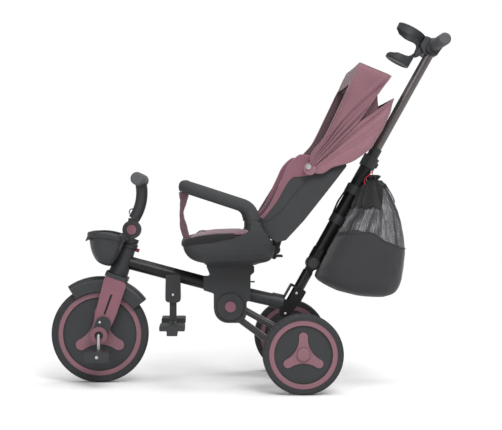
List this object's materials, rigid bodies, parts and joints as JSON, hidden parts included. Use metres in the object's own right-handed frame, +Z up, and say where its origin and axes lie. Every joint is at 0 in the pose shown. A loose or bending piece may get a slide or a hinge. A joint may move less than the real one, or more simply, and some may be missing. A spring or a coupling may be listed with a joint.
{
  "type": "folding tricycle",
  "caption": "Folding child's tricycle with a reclining padded seat, folded hood, safety bar, front basket, footrest and a rear push bar with bag and cup holder",
  "frame": {"origin": "Middle of the footprint on the floor, halfway between the front tyre's foremost point and the rearmost point of the push bar's grips, on the centre plane", "axes": "+X points to the rear, +Z up and +Y to the far side in the picture; the floor is Z 0"},
  "size_m": [1.0115, 0.48, 0.9383],
  "materials": {
    "dark_plastic": "matte",
    "pink_plastic": "satin",
    "black_steel": "satin",
    "grey_steel": "satin",
    "bare_steel": "satin",
    "tyre_foam": "matte",
    "grip_foam": "matte",
    "seat_fabric": "matte",
    "pad_fabric": "matte",
    "hood_fabric": "matte",
    "bag_fabric": "matte",
    "bag_net": "matte",
    "cord_fibre": "matte"
  },
  "bodies": {
    "frame": {"head_tube": "dark_plastic", "main_tube": "black_steel", "housing_near": "dark_plastic", "housing_far": "dark_plastic", "rear_strut": "black_steel", "push_bracket": "black_steel", "push_base_tube": "black_steel", "basket": "dark_plastic", "footrest_bracket": "dark_plastic"},
    "steering": {"fork_legs": "pink_plastic", "fork_crown": "dark_plastic", "fork_end_caps": "dark_plastic", "fender": "dark_plastic", "bar_clevis": "dark_plastic"},
    "handlebar": {"handlebar_stem": "dark_plastic", "handlebar_grips": "grip_foam"},
    "bar_fold_button": {"bar_button": "pink_plastic"},
    "steering_lock": {"steering_lock_tab": "pink_plastic"},
    "front_wheel": {"front_tyre": "tyre_foam", "front_disc": "dark_plastic", "front_trim": "pink_plastic", "crank_axle": "bare_steel"},
    "near_pedal": {"pedal_near": "dark_plastic"},
    "far_pedal": {"pedal_far": "dark_plastic"},
    "rear_fork_frame": {"rear_fork": "grey_steel", "axle_housing": "dark_plastic", "rear_axle": "bare_steel"},
    "near_rear_wheel": {"rear_near_tyre": "tyre_foam", "rear_near_disc": "dark_plastic", "rear_near_trim": "pink_plastic"},
    "far_rear_wheel": {"rear_far_tyre": "tyre_foam", "rear_far_disc": "dark_plastic", "rear_far_trim": "pink_plastic"},
    "fork_fold_button": {"hub_button": "pink_plastic"},
    "footrest": {"footrest_arm": "dark_plastic", "footrest_pads": "dark_plastic"},
    "seat": {"seat_shell": "dark_plastic", "armrest_posts": "dark_plastic", "seat_cushion": "seat_fabric"},
    "seat_release": {"seat_release_tab": "dark_plastic"},
    "recline_release": {"recline_lever": "dark_plastic"},
    "safety_guard": {"safety_bar": "grip_foam", "crotch_strap": "seat_fabric"},
    "backrest": {"backrest_shell": "pink_plastic", "back_pad": "pad_fabric", "hood_snaps": "bare_steel"},
    "hood_front_panel": {"hood_front": "hood_fabric"},
    "hood_rear_panel": {"hood_rear": "hood_fabric"},
    "push_bar": {"push_outer_tube": "black_steel", "push_fold_pin": "dark_plastic", "tube_clamp": "dark_plastic", "bar_collars": "dark_plastic", "bag_bottom": "bag_fabric", "bag_mesh": "bag_net", "push_bar_cords": "cord_fibre"},
    "height_button": {"clamp_button": "pink_plastic"},
    "push_handle": {"push_inner_tube": "black_steel", "handle_head": "dark_plastic", "handle_grips": "grip_foam", "cup_holder": "dark_plastic"}
  },
  "joints": [
    {"name": "steering_turn", "type": "hinge", "parent": "frame", "child": "steering", "pos_m": [-0.3201, 0, 0.31344], "axis": [0.342, 0, 0.9397], "range_deg": [-35, 35]},
    {"name": "handlebar_fold", "type": "hinge", "parent": "steering", "child": "handlebar", "pos_m": [-0.29648, 0, 0.39498], "axis": [0, -1, 0], "range_deg": [0, 50]},
    {"name": "bar_fold_button_press", "type": "slide", "parent": "steering", "child": "bar_fold_button", "axis": [0, 1, 0], "range_m": [0, 0.003], "stiffness_N_per_m": 300, "springref_m": -0.002},
    {"name": "steering_lock_press", "type": "slide", "parent": "frame", "child": "steering_lock", "axis": [-0.9397, 0, 0.342], "range_m": [0, 0.003], "stiffness_N_per_m": 300, "springref_m": -0.002},
    {"name": "front_wheel_roll", "type": "hinge", "parent": "steering", "child": "front_wheel", "pos_m": [-0.3785, 0, 0.1255], "axis": [0, 1, 0], "continuous": true},
    {"name": "near_pedal_turn", "type": "hinge", "parent": "front_wheel", "child": "near_pedal", "pos_m": [-0.3785, -0.097, 0.078], "axis": [0, 1, 0], "continuous": true},
    {"name": "far_pedal_turn", "type": "hinge", "parent": "front_wheel", "child": "far_pedal", "pos_m": [-0.3785, 0.097, 0.173], "axis": [0, 1, 0], "continuous": true},
    {"name": "rear_fork_fold", "type": "hinge", "parent": "frame", "child": "rear_fork_frame", "pos_m": [-0.0417, 0, 0.1975], "axis": [0, 1, 0], "range_deg": [0, 105]},
    {"name": "near_rear_wheel_roll", "type": "hinge", "parent": "rear_fork_frame", "child": "near_rear_wheel", "pos_m": [0.1295, -0.22, 0.098], "axis": [0, 1, 0], "continuous": true},
    {"name": "far_rear_wheel_roll", "type": "hinge", "parent": "rear_fork_frame", "child": "far_rear_wheel", "pos_m": [0.1295, 0.22, 0.098], "axis": [0, 1, 0], "continuous": true},
    {"name": "fork_fold_button_press", "type": "slide", "parent": "frame", "child": "fork_fold_button", "axis": [0, 1, 0], "range_m": [0, 0.003], "stiffness_N_per_m": 300, "springref_m": -0.002},
    {"name": "footrest_fold", "type": "hinge", "parent": "frame", "child": "footrest", "pos_m": [-0.1895, 0, 0.227], "axis": [0, 1, 0], "range_deg": [-45, 0]},
    {"name": "seat_height", "type": "slide", "parent": "frame", "child": "seat", "axis": [0, 0, 1], "range_m": [0, 0.03]},
    {"name": "seat_release_press", "type": "slide", "parent": "frame", "child": "seat_release", "axis": [0, 0, -1], "range_m": [0, 0.003], "stiffness_N_per_m": 300, "springref_m": -0.002},
    {"name": "recline_lever_lift", "type": "hinge", "parent": "seat", "child": "recline_release", "pos_m": [0.0695, 0, 0.327], "axis": [0, 1, 0], "range_deg": [-15, 0], "stiffness_Nm_per_rad": 0.05, "springref_deg": 8.59},
    {"name": "safety_bar_lift", "type": "slide", "parent": "seat", "child": "safety_guard", "axis": [0, 0, 1], "range_m": [0, 0.05]},
    {"name": "backrest_recline", "type": "hinge", "parent": "seat", "child": "backrest", "pos_m": [0.0735, 0, 0.345], "axis": [0, 1, 0], "range_deg": [-20, 0]},
    {"name": "hood_front_open", "type": "hinge", "parent": "backrest", "child": "hood_front_panel", "pos_m": [0.1481, 0, 0.5546], "axis": [0, -1, 0], "range_deg": [0, 75]},
    {"name": "hood_rear_open", "type": "hinge", "parent": "backrest", "child": "hood_rear_panel", "pos_m": [0.1481, 0, 0.5546], "axis": [0, -1, 0], "range_deg": [0, 30]},
    {"name": "push_bar_fold", "type": "hinge", "parent": "frame", "child": "push_bar", "pos_m": [0.1731, 0, 0.3082], "axis": [0, 1, 0], "range_deg": [0, 25]},
    {"name": "height_button_press", "type": "slide", "parent": "push_bar", "child": "height_button", "axis": [-0.8729, 0, 0.4879], "range_m": [0, 0.003], "stiffness_N_per_m": 300, "springref_m": -0.002},
    {"name": "push_handle_height", "type": "slide", "parent": "push_bar", "child": "push_handle", "axis": [0.4879, 0, 0.8729], "range_m": [0, 0.12]}
  ],
  "couplings": [
    {"joint": "hood_rear_open", "follows": "hood_front_open", "ratio": 0.4}
  ]
}
